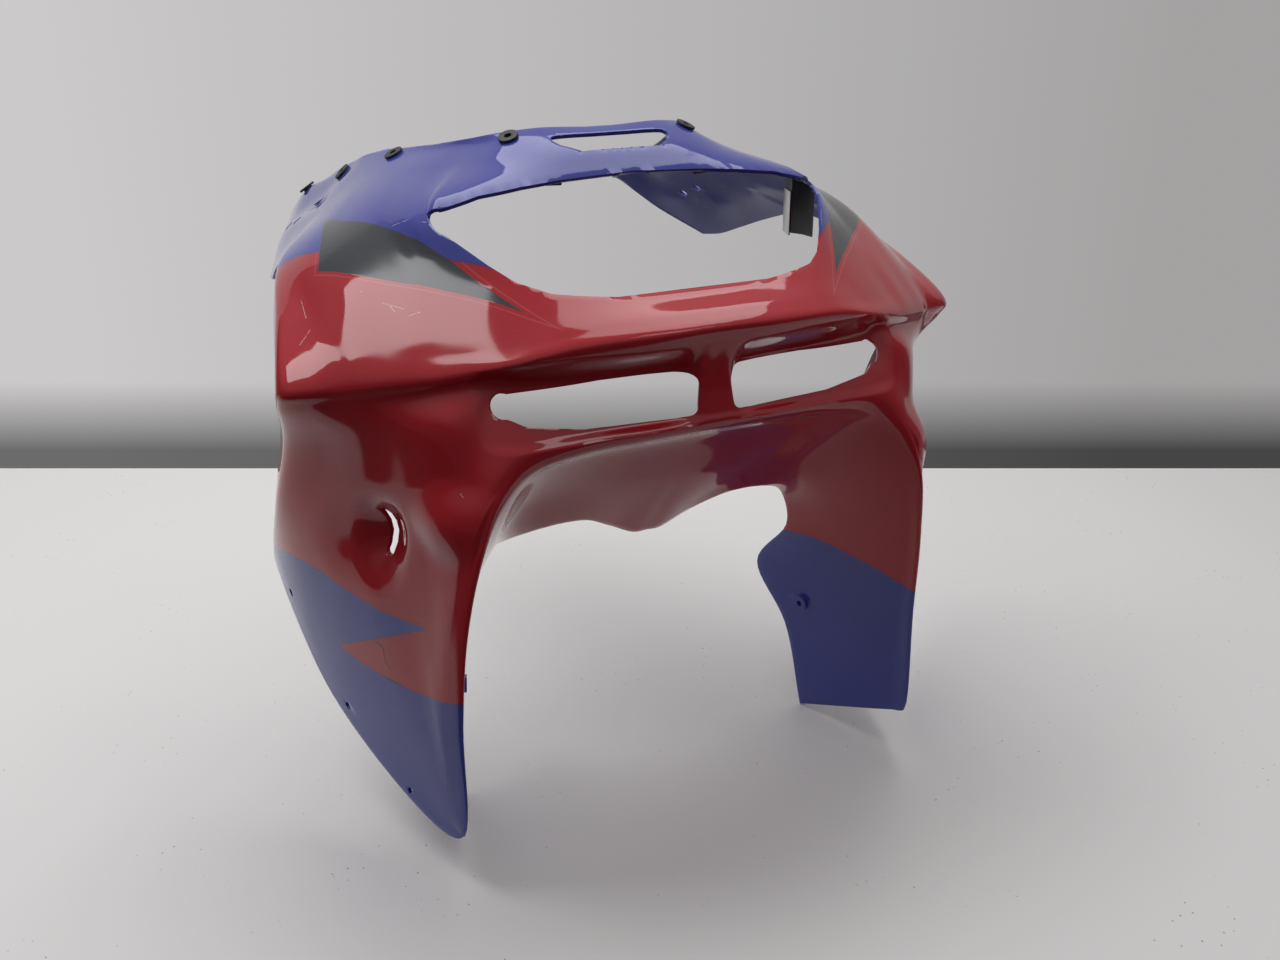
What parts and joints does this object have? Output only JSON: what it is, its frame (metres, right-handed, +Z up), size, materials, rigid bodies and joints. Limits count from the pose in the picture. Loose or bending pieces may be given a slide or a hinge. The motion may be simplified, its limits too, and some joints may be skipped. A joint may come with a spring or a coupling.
{
  "type": "motorcycle upper fairing",
  "caption": "Upper front fairing of a sports motorcycle: brow with headlight opening, paired air intakes, vent under the screen, wheel arch legs and screen ears.",
  "frame": {"origin": "on the middle plane, under the middle of the outline seen from above, at the height of the lowest corners of the inner leg panels", "axes": "+Z up as on the machine, -Y towards the nose, +X towards the rider's left; X = 0 is the middle plane"},
  "size_m": [0.5664, 0.553, 0.532],
  "materials": {
    "painted_shell": "gloss paint in red, violet-blue and charcoal on ABS",
    "black_rubber": "matt",
    "brass": "turned",
    "black_plastic": "satin",
    "clip_steel": "zinc plated"
  },
  "bodies": {
    "root": {"shell": "painted_shell", "rubber_nut_left_1": "black_rubber", "brass_insert_left_1": "brass", "rubber_nut_left_2": "black_rubber", "brass_insert_left_2": "brass", "rubber_nut_left_3": "black_rubber", "brass_insert_left_3": "brass", "rubber_nut_left_4": "black_rubber", "brass_insert_left_4": "brass", "light_pad_left": "black_rubber", "light_block_left": "black_plastic", "light_clip_left": "clip_steel", "rubber_nut_right_1": "black_rubber", "brass_insert_right_1": "brass", "rubber_nut_right_2": "black_rubber", "brass_insert_right_2": "brass", "rubber_nut_right_3": "black_rubber", "brass_insert_right_3": "brass", "rubber_nut_right_4": "black_rubber", "brass_insert_right_4": "brass", "light_pad_right": "black_rubber", "light_block_right": "black_plastic", "light_clip_right": "clip_steel"}
  },
  "joints": []
}
